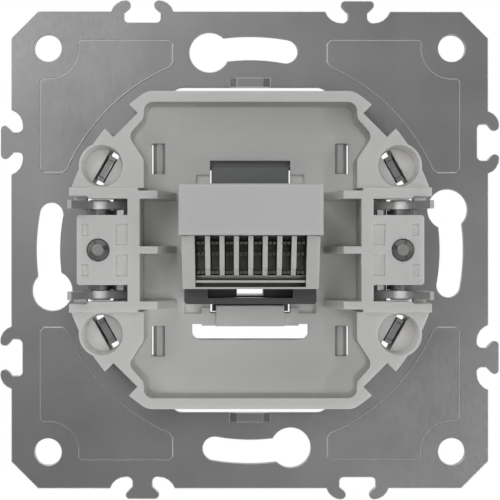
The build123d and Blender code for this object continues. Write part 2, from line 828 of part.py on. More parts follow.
# Front holder: a frame in the plate's cut-out, held by four tongues in the base's windows
with BuildPart() as front_holder:
    with BuildSketch(rear(-holder_thickness - holder_gap)) as frame:
        Rectangle(2 * holder_half_width, 2 * holder_half_height)
        fillet(frame.vertices(), holder_corner_r)
        lip_window_half = top_lip_half + holder_gap
        lip_window = span(-lip_window_half, lip_window_half, 0, top_lip_high + lip_window_gap)
        add(lip_window, mode=Mode.SUBTRACT)
        add(span(-jack_window_half, jack_window_half, -jack_window_bottom, 0), mode=Mode.SUBTRACT)
        add(
            span(
                -housing_front_half - holder_gap,
                housing_front_half + holder_gap,
                -housing_front_bottom - holder_gap,
                housing_front_top + holder_gap,
            ),
            mode=Mode.SUBTRACT,
        )
        add(span(-slot_half, slot_half, -slot_bottom, -slot_top), mode=Mode.SUBTRACT)
        for sx, sz in QUADRANTS:
            relief_x = sorted((sx * (snap_window_outer - tongue_gap), sx * (holder_half_width + 1)))
            add(span(*relief_x, *sorted((sz * snap_window_low, sz * snap_window_high))), mode=Mode.SUBTRACT)
    extrude(amount=holder_thickness)
    # Collar around the front of the jack
    with BuildSketch(rear(-holder_thickness - holder_gap - collar_height)):
        inner_half = housing_front_half + holder_gap
        inner_top = housing_front_top + holder_gap
        outer_half = inner_half + collar_wall
        add(span(-outer_half, outer_half, -collar_bottom - collar_wall, inner_top + collar_wall))
        add(span(-inner_half, inner_half, -collar_bottom, inner_top), mode=Mode.SUBTRACT)
    extrude(amount=collar_height)
    # Snap tongues with a hooked end, one through each window
    for sx, sz in QUADRANTS:
        low_z = snap_window_low + tongue_side_gap
        high_z = snap_window_high - tongue_side_gap
        low, high = sorted((sz * low_z, sz * high_z))
        inner_x = snap_window_inner + tongue_side_gap
        outer_x = snap_window_outer - tongue_gap
        with BuildSketch(Plane.XY.offset(low)):
            with BuildLine():
                Polyline(
                    (sx * inner_x, holder_gap + holder_thickness / 2),
                    (sx * inner_x, -snap_tongue_top + tongue_lead),
                    (sx * (inner_x + tongue_lead), -snap_tongue_top),
                    (sx * (outer_x - tongue_hook_width), -snap_tongue_top),
                    (sx * outer_x, -snap_tongue_top + tongue_hook_height),
                    (sx * outer_x, holder_gap + holder_thickness / 2),
                    close=True,
                )
            make_face()
        extrude(amount=high - low)
finish(front_holder, "front_holder")

# Jack housing: the dark body, open behind, with the port in front and a lip for each catch
with BuildPart() as jack_housing:
    with BuildSketch(rear(housing_front_depth)):
        add(span(-housing_front_half, housing_front_half, -housing_front_bottom, housing_front_top))
    extrude(amount=floor_thickness - housing_front_depth)
    with BuildSketch(rear(floor_thickness)) as rear_body:
        add(span(-housing_rear_half, housing_rear_half, -housing_rear_bottom, housing_rear_top))
        fillet(rear_body.vertices(), housing_corner_r)
    extrude(amount=housing_rear_depth - floor_thickness)
    # Upper latch with its lip under the base's floor, and the lower lip
    with BuildSketch(rear(top_latch_low_depth)):
        add(span(-top_latch_half, top_latch_half, 0, top_latch_top))
    extrude(amount=top_latch_high_depth - top_latch_low_depth)
    with BuildSketch(rear(top_lip_low_depth)):
        add(span(-top_lip_half, top_lip_half, top_lip_low, top_lip_high))
    extrude(amount=-holder_gap - top_lip_low_depth)
    with BuildSketch(rear(top_lip_low_depth)):
        add(span(-top_latch_half, top_latch_half, housing_front_top, top_lip_high - lip_root_inset))
    extrude(amount=top_latch_low_depth - top_lip_low_depth)
    with BuildSketch(rear(bottom_lip_low_depth)):
        add(span(-bottom_lip_half, bottom_lip_half, -bottom_lip_bottom, 0))
    extrude(amount=bottom_lip_high_depth - bottom_lip_low_depth)
    # Port and latch channel, right through
    with BuildSketch(rear(housing_front_depth)):
        add(span(-port_half, port_half, -port_bottom, port_top))
        add(span(-latch_wide_half, latch_wide_half, -latch_wide_bottom, 0))
        add(span(-latch_half, latch_half, -latch_bottom, 0))
    extrude(amount=housing_rear_depth - housing_front_depth, mode=Mode.SUBTRACT)
    # Cavity for the contact carrier, and the pocket behind the latch channel
    with BuildSketch(rear(housing_front_depth + front_wall)):
        add(span(-carrier_cavity_half, carrier_cavity_half, 0, carrier_cavity_top))
    extrude(amount=housing_rear_depth - housing_front_depth - front_wall, mode=Mode.SUBTRACT)
    with BuildSketch(rear(rear_pocket_depth)):
        add(span(-rear_pocket_half, rear_pocket_half, -rear_pocket_bottom, 0))
    extrude(amount=housing_rear_depth - rear_pocket_depth, mode=Mode.SUBTRACT)
finish(jack_housing, "jack_housing")

# Contact carrier: a bar with eight grooves, pressed in above the port
contact_xs = [(way - (way_count - 1) / 2) * contact_pitch for way in range(way_count)]
with BuildPart() as contact_carrier:
    with BuildSketch(rear(carrier_front_depth)):
        add(span(-carrier_half, carrier_half, carrier_low, carrier_high))
        for contact_x in contact_xs:
            half = carrier_groove / 2
            add(span(contact_x - half, contact_x + half, 0, contact_level + half), mode=Mode.SUBTRACT)
    extrude(amount=terminal_floor - carrier_front_depth)
finish(contact_carrier, "contact_carrier")

# Spring contacts: wires from the board forward along the carrier, then back down into the port
for way, contact_x in enumerate(contact_xs, start=1):
    with BuildPart() as contact_wire:
        with BuildLine(Plane.YZ.offset(contact_x)) as route:
            Polyline(
                (-board_rear_depth, contact_level),
                (-contact_bend_depth, contact_level),
                (-contact_tip_depth, contact_tip_z),
            )
        with BuildSketch(Plane(route.line @ 0, z_dir=route.line % 0)):
            RegularPolygon(contact_d / 2, contact_sides)
        sweep(transition=Transition.RIGHT)
    finish(contact_wire, f"contact_wire_{way}")

# Circuit board between the spring contacts and the terminals
with BuildPart() as circuit_board:
    with BuildSketch(rear(terminal_floor + board_gap)):
        add(span(-board_half, board_half, -board_bottom, board_top))
        with Locations(*[(contact_x, contact_level) for contact_x in contact_xs]):
            Rectangle(board_hole, board_hole, mode=Mode.SUBTRACT)
    extrude(amount=board_thickness)
finish(circuit_board, "circuit_board")

# Terminal block: a comb of eight wire slots in a face that slopes towards the cable's side
terminal_xs = [(way - (way_count - 1) / 2) * terminal_pitch for way in range(way_count)]
fin_xs = [(fin - way_count / 2) * terminal_pitch for fin in range(1, way_count)]
pocket_floor = board_rear_depth + board_gap


def slope_depth(z):
    """Depth of the comb's sloping face at height z."""
    share = (terminal_step_z - z) / (terminal_step_z + terminal_bottom)
    return terminal_rear_depth - share * (terminal_rear_depth - terminal_low_depth)


def comb_profile(z_low, z_high, depth_low, drop=0):
    """Corners of a slab under the sloping face, between two heights, as (y, z) points."""
    return [
        (-depth_low, z_low),
        (-slope_depth(z_low) + drop, z_low),
        (-slope_depth(z_high) + drop, z_high),
        (-depth_low, z_high),
    ]


with BuildPart() as terminal_block:
    with BuildSketch(Plane.YZ.offset(-terminal_half)):
        with BuildLine():
            Polyline(*comb_profile(-terminal_bottom, terminal_step_z, terminal_floor), close=True)
        make_face()
    extrude(amount=2 * terminal_half)
    with BuildSketch(rear(terminal_floor)):
        add(span(-terminal_neck_half, terminal_neck_half, terminal_step_z, terminal_top))
    extrude(amount=terminal_rear_depth - terminal_floor)
    with BuildSketch(rear(terminal_floor)):
        add(span(-terminal_half, terminal_half, 0, terminal_skirt_top))
    extrude(amount=cap_front_depth - terminal_floor - cap_gap)
    # Seat for the board
    with BuildSketch(rear(terminal_floor)):
        add(
            span(
                -board_half - terminal_pocket,
                board_half + terminal_pocket,
                -board_bottom - terminal_pocket,
                board_top + terminal_pocket,
            )
        )
    extrude(amount=pocket_floor - terminal_floor, mode=Mode.SUBTRACT)
    # Comb opening, then the fins and the stepped sill inside it
    fin_root = comb_floor_depth - comb_overlap
    with BuildSketch(rear(comb_floor_depth)):
        add(span(-comb_half, comb_half, -comb_bottom, cap_bottom + comb_reach))
    extrude(amount=terminal_rear_depth, mode=Mode.SUBTRACT)
    for fin_x in fin_xs:
        with BuildSketch(Plane.YZ.offset(fin_x - fin_thickness / 2)):
            with BuildLine():
                Polyline(*comb_profile(-fin_bottom, terminal_step_z, fin_root), close=True)
            make_face()
        extrude(amount=fin_thickness)
        with BuildSketch(Plane.YZ.offset(fin_x - fin_thickness / 2)):
            with BuildLine():
                Polyline(*comb_profile(-fin_foot_bottom, -fin_bottom, fin_root, fin_foot_drop), close=True)
            make_face()
        extrude(amount=fin_thickness)
    with BuildSketch(Plane.YZ.offset(-comb_half - comb_overlap)):
        with BuildLine():
            Polyline(*comb_profile(-sill_bottom, -sill_top, fin_root, sill_drop), close=True)
        make_face()
    extrude(amount=2 * comb_half + 2 * comb_overlap)
    with BuildSketch(Plane.YZ.offset(-comb_half - comb_overlap)):
        with BuildLine():
            lip_top = -sill_bottom + sill_lip
            Polyline(*comb_profile(-sill_bottom, lip_top, comb_floor_depth, sill_lip), close=True)
        make_face()
    extrude(amount=2 * comb_half + 2 * comb_overlap)
    # Holes for the terminals' pins
    with BuildSketch(rear(pocket_floor - 1)):
        with Locations(*[(terminal_x, fork_middle_z) for terminal_x in terminal_xs]):
            Rectangle(2 * (pin_half + pin_gap), 2 * (pin_half + pin_gap))
    extrude(amount=comb_floor_depth - pocket_floor + 2, mode=Mode.SUBTRACT)
finish(terminal_block, "terminal_block")

# Forked terminals: a sheet bent into a channel, each upright slit for the wire
for way, terminal_x in enumerate(terminal_xs, start=1):
    with BuildPart() as idc_contact:
        with BuildSketch(Plane.YZ.offset(terminal_x - fork_width / 2)):
            with BuildLine():
                Polyline(
                    (-comb_floor_depth, fork_lower_z),
                    (-comb_floor_depth, fork_upper_z),
                    (-slope_depth(fork_upper_z) + fork_inset, fork_upper_z),
                    (-slope_depth(fork_upper_z) + fork_inset, fork_upper_z - fork_sheet),
                    (-comb_floor_depth - fork_sheet, fork_upper_z - fork_sheet),
                    (-comb_floor_depth - fork_sheet, fork_middle_z + fork_sheet / 2),
                    (-slope_depth(fork_middle_z) + 3 * fork_inset, fork_middle_z + fork_sheet / 2),
                    (-slope_depth(fork_middle_z) + 3 * fork_inset, fork_middle_z - fork_sheet / 2),
                    (-comb_floor_depth - fork_sheet, fork_middle_z - fork_sheet / 2),
                    (-comb_floor_depth - fork_sheet, fork_lower_z + fork_sheet),
                    (-slope_depth(fork_lower_z) + fork_inset, fork_lower_z + fork_sheet),
                    (-slope_depth(fork_lower_z) + fork_inset, fork_lower_z),
                    close=True,
                )
            make_face()
        extrude(amount=fork_width)
        with BuildSketch(rear(comb_floor_depth + fork_slit_depth)):
            slit_half = fork_slit / 2
            add(span(terminal_x - slit_half, terminal_x + slit_half, 2 * fork_lower_z, 2 * fork_upper_z))
        extrude(amount=terminal_rear_depth, mode=Mode.SUBTRACT)
        with BuildSketch(rear(board_rear_depth)):
            with Locations((terminal_x, fork_middle_z)):
                Rectangle(2 * pin_half, 2 * pin_half)
        extrude(amount=comb_floor_depth - board_rear_depth + fork_sheet / 2)
    finish(idc_contact, f"idc_contact_{way}")

# Rear cap: pressed over the neck of the terminal block
with BuildPart() as rear_cap:
    with BuildSketch(rear(cap_front_depth)):
        add(span(-cap_half, cap_half, cap_bottom, cap_top))
    extrude(amount=cap_depth - cap_front_depth)
    fillet(rear_cap.faces().sort_by(Axis.Y)[0].edges(), cap_edge)
    with BuildSketch(rear(cap_front_depth)):
        neck_half = terminal_neck_half + cap_gap
        add(span(-neck_half, neck_half, cap_bottom - cap_wall, terminal_top + cap_gap))
    extrude(amount=terminal_rear_depth + cap_gap - cap_front_depth, mode=Mode.SUBTRACT)
finish(rear_cap, "rear_cap")
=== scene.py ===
import bpy
import numpy as np
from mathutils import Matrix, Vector


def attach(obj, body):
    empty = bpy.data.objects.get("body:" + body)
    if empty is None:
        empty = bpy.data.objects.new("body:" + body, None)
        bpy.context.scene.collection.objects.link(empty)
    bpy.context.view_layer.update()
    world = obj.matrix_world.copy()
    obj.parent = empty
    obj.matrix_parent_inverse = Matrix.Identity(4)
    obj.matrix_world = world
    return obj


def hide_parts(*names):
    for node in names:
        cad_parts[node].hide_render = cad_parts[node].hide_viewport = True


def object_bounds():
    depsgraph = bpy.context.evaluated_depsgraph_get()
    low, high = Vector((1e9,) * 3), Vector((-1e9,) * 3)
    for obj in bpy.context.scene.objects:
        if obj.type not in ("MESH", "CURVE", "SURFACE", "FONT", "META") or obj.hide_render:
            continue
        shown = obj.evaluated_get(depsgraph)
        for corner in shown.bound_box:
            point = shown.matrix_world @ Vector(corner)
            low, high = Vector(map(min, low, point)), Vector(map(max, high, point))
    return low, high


# Flush-mounted data socket insert, dressed for the camera.
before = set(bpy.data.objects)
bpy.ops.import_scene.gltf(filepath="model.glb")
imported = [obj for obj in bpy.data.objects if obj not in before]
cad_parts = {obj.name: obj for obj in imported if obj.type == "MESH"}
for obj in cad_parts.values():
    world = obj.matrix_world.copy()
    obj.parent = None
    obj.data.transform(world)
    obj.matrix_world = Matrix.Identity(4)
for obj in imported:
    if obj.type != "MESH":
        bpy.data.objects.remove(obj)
cad_low, cad_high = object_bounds()

# Mounting plate: one pressing of zinc-plated steel sheet, blanked, coined at the corners
# and with four tabs bent square. The plating is satin with a faint rolling grain.
noise_low = 0.3
noise_high = 0.7
edge_samples = 6
plating_bump = 0.0000015
plating_smoother = 0.03
plating_rougher = 0.04


def socket(node, name, value):
    """Sets one input of a shader node to a constant."""
    node.inputs[name].default_value = value


def speckle(tree, scale, detail, stretch=(1, 1, 1)):
    """Noise read in object space: scale is features per metre, stretch draws it out along an axis."""
    place = tree.nodes.new("ShaderNodeTexCoord")
    mapping = tree.nodes.new("ShaderNodeMapping")
    noise = tree.nodes.new("ShaderNodeTexNoise")
    socket(mapping, "Scale", stretch)
    socket(noise, "Scale", scale)
    socket(noise, "Detail", detail)
    tree.links.new(place.outputs["Object"], mapping.inputs["Vector"])
    tree.links.new(mapping.outputs["Vector"], noise.inputs["Vector"])
    return noise.outputs["Fac"]


def between(tree, factor, low, high):
    """Stretches a noise, which mostly lies between noise_low and noise_high, to the numbers low to high."""
    stretch = tree.nodes.new("ShaderNodeMapRange")
    socket(stretch, "From Min", noise_low)
    socket(stretch, "From Max", noise_high)
    socket(stretch, "To Min", low)
    socket(stretch, "To Max", high)
    tree.links.new(factor, stretch.inputs["Value"])
    return stretch.outputs["Result"]


def tinted(tree, factor, first, second):
    """Mixes two colours by a factor from 0 to 1; the first may come from another node."""
    mix = tree.nodes.new("ShaderNodeMix")
    mix.data_type = "RGBA"
    if isinstance(first, tuple):
        mix.inputs["A"].default_value = (*first, 1)
    else:
        tree.links.new(first, mix.inputs["A"])
    mix.inputs["B"].default_value = (*second, 1)
    tree.links.new(factor, mix.inputs["Factor"])
    return mix.outputs["Result"]


def softened(tree, radius, height, distance):
    """Normal with every edge rounded to a radius in metres and a bump of a noise on top."""
    edge = tree.nodes.new("ShaderNodeBevel")
    bump = tree.nodes.new("ShaderNodeBump")
    edge.samples = edge_samples
    socket(edge, "Radius", radius)
    socket(bump, "Strength", 1.0)
    socket(bump, "Distance", distance)
    tree.links.new(height, bump.inputs["Height"])
    tree.links.new(edge.outputs["Normal"], bump.inputs["Normal"])
    return bump.outputs["Normal"]


def turned_edge(tree, radius):
    """Factor of 0 on flat faces and 1 on edges, where the rounded normal turns from the flat one.

    It is the cosine between the two normals, ramped from 0.99 down to 0.90.
    """
    edge = tree.nodes.new("ShaderNodeBevel")
    flat = tree.nodes.new("ShaderNodeNewGeometry")
    cosine = tree.nodes.new("ShaderNodeVectorMath")
    ramp = tree.nodes.new("ShaderNodeMapRange")
    cosine.operation = "DOT_PRODUCT"
    edge.samples = edge_samples
    socket(edge, "Radius", radius)
    socket(ramp, "From Min", 0.99)
    socket(ramp, "From Max", 0.90)
    tree.links.new(edge.outputs["Normal"], cosine.inputs[0])
    tree.links.new(flat.outputs["Normal"], cosine.inputs[1])
    tree.links.new(cosine.outputs["Value"], ramp.inputs["Value"])
    return ramp.outputs["Result"]


def blank_material(name):
    """A new material with its node tree and surface shader."""
    material = bpy.data.materials.new(name)
    material.use_nodes = True
    tree = material.node_tree
    return material, tree, tree.nodes["Principled BSDF"]


def zinc_plated(name, dark, light, edge_highlight, shine, grain, edge):
    """Plated steel: cloudy grey between two colours, with a highlight painted bright on its edges,
    roughness about shine.

    The grain is a fine noise drawn out along the axes as grain says, and edge is a radius in metres.
    """
    material, tree, shader = blank_material(name)
    clouds = speckle(tree, scale=90, detail=4)
    fine = speckle(tree, scale=2600, detail=3, stretch=grain)
    socket(shader, "Metallic", 1.0)
    cloudy = tinted(tree, between(tree, clouds, 0, 1), dark, light)
    # Painted highlight: the edges are mixed towards a bright colour, standing in for light that rounded
    # edges catch.
    highlit = tinted(tree, turned_edge(tree, edge), cloudy, edge_highlight)
    tree.links.new(highlit, shader.inputs["Base Color"])
    satin = between(tree, fine, shine - plating_smoother, shine + plating_rougher)
    tree.links.new(satin, shader.inputs["Roughness"])
    tree.links.new(softened(tree, edge, fine, plating_bump), shader.inputs["Normal"])
    return material


def dress(node_name, material):
    """Gives a CAD node its finish."""
    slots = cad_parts[node_name].data.materials
    for index in range(len(slots)):
        slots[index] = material


plate_finish = zinc_plated(
    "plate_zinc",
    dark=(0.116, 0.117, 0.118),
    light=(0.140, 0.141, 0.141),
    edge_highlight=(0.72, 0.72, 0.72),
    shine=0.36,
    grain=(1.0, 1.0, 0.35),
    edge=0.0002,
)
dress("mounting_plate", plate_finish)

# Base: tray moulded in light grey thermoplastic with a fine spark-eroded texture, with light
# painted into its wells to make them paler. The plate's four tabs pass through it and hold it by their
# notched ends.
body_dark = (0.405, 0.405, 0.40)
body_light = (0.43, 0.43, 0.425)
painted_well_light = (0.61, 0.605, 0.59)
well_light_reach = 0.007
shelter_samples = 8
milk_colours = (1.0, 0.96, 0.88)
milk_depth = 0.0022
moulded_smoother = 0.04
moulded_rougher = 0.05


def sheltered(tree, reach):
    """Factor of 0 on open faces and 1 in corners and wells, where walls within reach hide the sky.

    It is the share of open sky, ramped from 0.8 down to 0.35.
    """
    hidden = tree.nodes.new("ShaderNodeAmbientOcclusion")
    ramp = tree.nodes.new("ShaderNodeMapRange")
    hidden.samples = shelter_samples
    socket(hidden, "Distance", reach)
    socket(ramp, "From Min", 0.8)
    socket(ramp, "From Max", 0.35)
    tree.links.new(hidden.outputs["AO"], ramp.inputs["Value"])
    return ramp.outputs["Result"]


def moulded(name, dark, light, shine, texture, edge, milky):
    """Moulded plastic: a slow drift between two colours, a fine texture in metres deep, milky by 0 to 1."""
    material, tree, shader = blank_material(name)
    drift = speckle(tree, scale=60, detail=2)
    grain = speckle(tree, scale=5200, detail=2)
    socket(shader, "Specular IOR Level", 0.35)
    socket(shader, "Subsurface Weight", milky)
    socket(shader, "Subsurface Radius", milk_colours)
    socket(shader, "Subsurface Scale", milk_depth)
    tree.links.new(tinted(tree, between(tree, drift, 0, 1), dark, light), shader.inputs["Base Color"])
    satin = between(tree, grain, shine - moulded_smoother, shine + moulded_rougher)
    tree.links.new(satin, shader.inputs["Roughness"])
    tree.links.new(softened(tree, edge, grain, texture), shader.inputs["Normal"])
    return material


def recoloured(material, factor, colour):
    """Lays a colour over the material's own by a factor from 0 to 1 made in its node tree."""
    tree = material.node_tree
    surface_colour = tree.nodes["Principled BSDF"].inputs["Base Color"]
    own = surface_colour.links[0].from_socket
    tree.links.new(tinted(tree, factor, own, colour), surface_colour)


base_finish = moulded(
    "base_grey", body_dark, body_light, shine=0.52, texture=0.000006, edge=0.00015, milky=0.85
)
# Painted light: the base's colour turns paler in its wells and corners, where shade would fall.
recoloured(base_finish, sheltered(base_finish.node_tree, well_light_reach), painted_well_light)
dress("base_housing", base_finish)

# Front holder: frame moulded in the same light plastic, snapped into the base from the room
# side with four hooked tongues.
holder_finish = moulded(
    "holder_grey", body_dark, body_light, shine=0.50, texture=0.000005, edge=0.00012, milky=0.85
)
dress("front_holder", holder_finish)

# Jack: a dark moulded housing caught by its upper latch and lower lip, with a carrier bar
# for the spring contacts pressed in above the port. Its colour turns a paler grey towards the top, over its
# upper latch.
upper_grey = (0.098, 0.102, 0.102)
upper_grey_start = 0.0086
upper_grey_end = 0.0094


def along(tree, axis, start, end):
    """Factor that rises smoothly from 0 to 1 between two places, in metres, on an axis of the part."""
    place = tree.nodes.new("ShaderNodeTexCoord")
    split = tree.nodes.new("ShaderNodeSeparateXYZ")
    ramp = tree.nodes.new("ShaderNodeMapRange")
    ramp.interpolation_type = "SMOOTHSTEP"
    socket(ramp, "From Min", start)
    socket(ramp, "From Max", end)
    tree.links.new(place.outputs["Object"], split.inputs["Vector"])
    tree.links.new(split.outputs[axis], ramp.inputs["Value"])
    return ramp.outputs["Result"]


jack_finish = moulded(
    "jack_charcoal",
    dark=(0.028, 0.030, 0.029),
    light=(0.036, 0.038, 0.037),
    shine=0.42,
    texture=0.000005,
    edge=0.00012,
    milky=0,
)
carrier_finish = moulded(
    "carrier_black",
    dark=(0.03, 0.031, 0.033),
    light=(0.04, 0.041, 0.043),
    shine=0.45,
    texture=0.000004,
    edge=0.0001,
    milky=0,
)
# The housing's colour turns a paler grey towards its top.
recoloured(jack_finish, along(jack_finish.node_tree, "Z", upper_grey_start, upper_grey_end), upper_grey)
dress("jack_housing", jack_finish)
dress("contact_carrier", carrier_finish)

# Spring contacts: eight drawn bronze wires, gold plated, laid side by side in the carrier
# and bent back into the port.
way_count = 8
way_pitch = 0.00102
wire_half = 0.00023
wire_sides = 20
wire_level = 0.0052
wire_back = -0.01025
wire_bend = 0.0059
wire_tip = (-0.0008, 0.0009)
wire_bend_r = 0.0007
straight_points = 30
bend_points = 24
tip_points = 16


def contact_route():
    """Line of a contact in depth and height: straight from its back, round the bend, straight to its tip.

    The bend is an arc tangent to both runs, so it starts short of their corner by r tan(turn / 2).
    """
    corner = np.array([wire_bend, wire_level])
    leg = np.array(wire_tip) - corner
    leg /= np.linalg.norm(leg)
    turn = np.pi - np.arccos(np.dot(leg, [-1.0, 0.0]))
    short = wire_bend_r * np.tan(turn / 2)
    angle = np.linspace(0, turn, bend_points)
    centre = corner + np.array([-short, -wire_bend_r])
    arc = centre + wire_bend_r * np.stack([np.sin(angle), np.cos(angle)], -1)
    straight = np.linspace((wire_back, wire_level), (wire_bend - short, wire_level), straight_points)
    down = np.linspace(arc[-1], wire_tip, tip_points)
    return np.concatenate([straight[:-1], arc, down[1:]])


def swept_tube(path, radius, sides):
    """Rings of a round tube: at each path point, the centre plus radius times (side cos a + up sin a)."""
    ahead = np.gradient(path, axis=0)
    ahead /= np.linalg.norm(ahead, axis=1)[:, None]
    side = np.tile([1.0, 0.0, 0.0], (len(path), 1))
    up = np.cross(side, ahead)
    angle = np.linspace(0, 2 * np.pi, sides, endpoint=False)
    ring = side[:, None] * np.cos(angle)[None, :, None] + up[:, None] * np.sin(angle)[None, :, None]
    return path[:, None] + radius * ring


def closed_skin(rings):
    """Vertices and faces of a stack of equal rings, joined in quads and closed at both ends by a pole."""
    count, sides = rings.shape[:2]
    points = np.concatenate([rings.reshape(-1, 3), rings[0].mean(0)[None], rings[-1].mean(0)[None]])
    row = np.arange(count - 1)[:, None] * sides
    col = np.arange(sides)
    nxt = (col + 1) % sides
    quads = np.stack([row + col, row + nxt, row + sides + nxt, row + sides + col], -1).reshape(-1, 4)
    first_pole = count * sides
    last_pole = first_pole + 1
    last_ring = first_pole - sides
    start = np.stack([np.full(sides, first_pole), nxt, col], -1)
    end = np.stack([np.full(sides, last_pole), last_ring + col, last_ring + nxt], -1)
    return points, quads.tolist() + start.tolist() + end.tolist()


def piece_from(name, points, faces, material, body, nodes):
    """Makes the mesh object of a finished piece, outward and smooth, and puts it on its body."""
    mesh = bpy.data.meshes.new(name)
    mesh.from_pydata(np.asarray(points).tolist(), [], faces)
    mesh.materials.append(material)
    made = bpy.data.objects.new(name, mesh)
    bpy.context.scene.collection.objects.link(made)
    bpy.context.view_layer.objects.active = made
    made.select_set(True)
    bpy.ops.object.mode_set(mode="EDIT")
    bpy.ops.mesh.select_all(action="SELECT")
    bpy.ops.mesh.normals_make_consistent(inside=False)
    bpy.ops.object.mode_set(mode="OBJECT")
    bpy.ops.object.shade_smooth_by_angle(angle=0.6)
    made.select_set(False)
    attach(made, body)
    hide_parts(*nodes)


def gilded(name, deep, bright):
    """Gold plating over nickel: warm yellow between two colours, with a slight haze."""
    material, tree, shader = blank_material(name)
    haze = speckle(tree, scale=1500, detail=3)
    socket(shader, "Metallic", 1.0)
    tree.links.new(tinted(tree, between(tree, haze, 0, 1), deep, bright), shader.inputs["Base Color"])
    tree.links.new(between(tree, haze, 0.2, 0.32), shader.inputs["Roughness"])
    return material


contact_finish = gilded("contact_gold", deep=(0.66, 0.45, 0.17), bright=(0.76, 0.55, 0.24))
route = contact_route()
for way in range(way_count):
    across = (way - (way_count - 1) / 2) * way_pitch
    path = np.column_stack([np.full(len(route), across), route])
    points, faces = closed_skin(swept_tube(path, wire_half, wire_sides))
    wire_node = f"contact_wire_{way + 1}"
    piece_from(
        f"spring_contact_{way + 1}", points, faces, contact_finish, "base", [wire_node]
    )

# Circuit board: glass-fibre laminate under green lacquer, standing between the spring
# contacts and the terminals.
board_finish = moulded(
    "board_lacquer",
    dark=(0.02, 0.075, 0.035),
    light=(0.03, 0.095, 0.045),
    shine=0.3,
    texture=0.000002,
    edge=0.00005,
    milky=0,
)
dress("circuit_board", board_finish)

# Terminal block and its cap: a comb moulded in pale grey plastic with a sloping face, with shade
# painted dark into its narrow slots, and a cap of the same plastic pressed over its neck.
painted_slot_shade = (0.07, 0.066, 0.06)
slot_shade_reach = 0.0012
terminal_finish = moulded(
    "terminal_grey",
    dark=(0.375, 0.373, 0.363),
    light=(0.395, 0.393, 0.383),
    shine=0.48,
    texture=0.000005,
    edge=0.00012,
    milky=0.6,
)
cap_finish = moulded(
    "cap_grey",
    dark=(0.345, 0.345, 0.345),
    light=(0.365, 0.365, 0.365),
    shine=0.46,
    texture=0.000005,
    edge=0.00015,
    milky=0.6,
)
# Painted shade: the comb's colour turns dark in its narrow slots and corners.
recoloured(terminal_finish, sheltered(terminal_finish.node_tree, slot_shade_reach), painted_slot_shade)
dress("terminal_block", terminal_finish)
dress("rear_cap", cap_finish)

# Forked terminals: tinned bronze strip bent to a channel and slit, so that the fork bites
# through a core's sheath. Each is pressed into its own slot of the comb.
tinned_finish = zinc_plated(
    "terminal_tin",
    dark=(0.042, 0.041, 0.037),
    light=(0.072, 0.070, 0.062),
    edge_highlight=(0.22, 0.21, 0.19),
    shine=0.30,
    grain=(1.0, 1.0, 1.0),
    edge=0.00006,
)
for way in range(way_count):
    dress(f"idc_contact_{way + 1}", tinned_finish)

# Claws and cross nuts: plated steel, the claws blanked and bent from sheet, the nuts turned
# from bar. Each claw hangs by its two eyes on the ends of its nut.
claw_finish = zinc_plated(
    "claw_zinc",
    dark=(0.40, 0.40, 0.40),
    light=(0.46, 0.46, 0.458),
    edge_highlight=(0.60, 0.60, 0.60),
    shine=0.50,
    grain=(1.0, 0.4, 1.0),
    edge=0.00012,
)
nut_finish = zinc_plated(
    "nut_zinc",
    dark=(0.088, 0.088, 0.087),
    light=(0.12, 0.12, 0.118),
    edge_highlight=(0.50, 0.50, 0.50),
    shine=0.24,
    grain=(0.3, 1.0, 1.0),
    edge=0.0001,
)
for side in ("left", "right"):
    dress(f"claw_{side}", claw_finish)
    dress(f"claw_nut_{side}", nut_finish)

# Claw screws: M3 screws of plated steel with a rolled thread, a slotted pan head on the room
# side of the plate and a pointed end behind the claw's nut.
screw_finish = zinc_plated(
    "screw_zinc",
    dark=(0.13, 0.13, 0.127),
    light=(0.17, 0.17, 0.167),
    edge_highlight=(0.50, 0.50, 0.49),
    shine=0.28,
    grain=(1.0, 1.0, 1.0),
    edge=0.00005,
)
screw_axis_x = 0.0216
plate_front = 0.001
screw_r = 0.0015
screw_end = 0.0134
screw_point = 0.0005
screw_point_r = 0.00078
thread_depth = 0.00030
thread_pitch = 0.0005
thread_sides = 40
rings_per_turn = 10
crest_flat = 0.08
root_flat = 0.12
head_r = 0.00275
head_height = 0.0018
head_columns = 41
head_rows = 49
dome_power = 5
slot_half = 0.00035
slot_floor = 0.0009
slot_margin = 1.3 * slot_half


def threaded_shank(centre_x):
    """Rings of the shank from the plate's front to its point, with radius r - depth * tooth * runs.

    The tooth is 0 on the crest's flat, 1 on the root's flat and straight between, at the phase
    y / pitch - a / 2 pi. It runs in and out within one pitch, and the point's cone cuts it off.
    """
    length = screw_end + plate_front
    depth = np.linspace(-plate_front, screw_end, int(length / thread_pitch * rings_per_turn))
    angle = np.linspace(0, 2 * np.pi, thread_sides, endpoint=False)
    phase = np.mod(depth[:, None] / thread_pitch - angle[None, :] / (2 * np.pi), 1)
    flank = (np.abs(2 * phase - 1) - crest_flat) / (1 - root_flat - crest_flat)
    tooth = np.clip(flank, 0, 1)
    run_in = np.clip((depth + plate_front) / thread_pitch, 0, 1)
    run_out = np.clip((screw_end - screw_point - depth) / thread_pitch, 0, 1)
    radius = screw_r - thread_depth * tooth * (run_in * run_out)[:, None]
    cone = screw_point_r + (screw_r - screw_point_r) * np.clip((screw_end - depth) / screw_point, 0, 1)
    radius = np.minimum(radius, cone[:, None])
    level = np.tile(-depth[:, None], (1, thread_sides))
    return np.stack([centre_x + radius * np.cos(angle), level, radius * np.sin(angle)], -1)


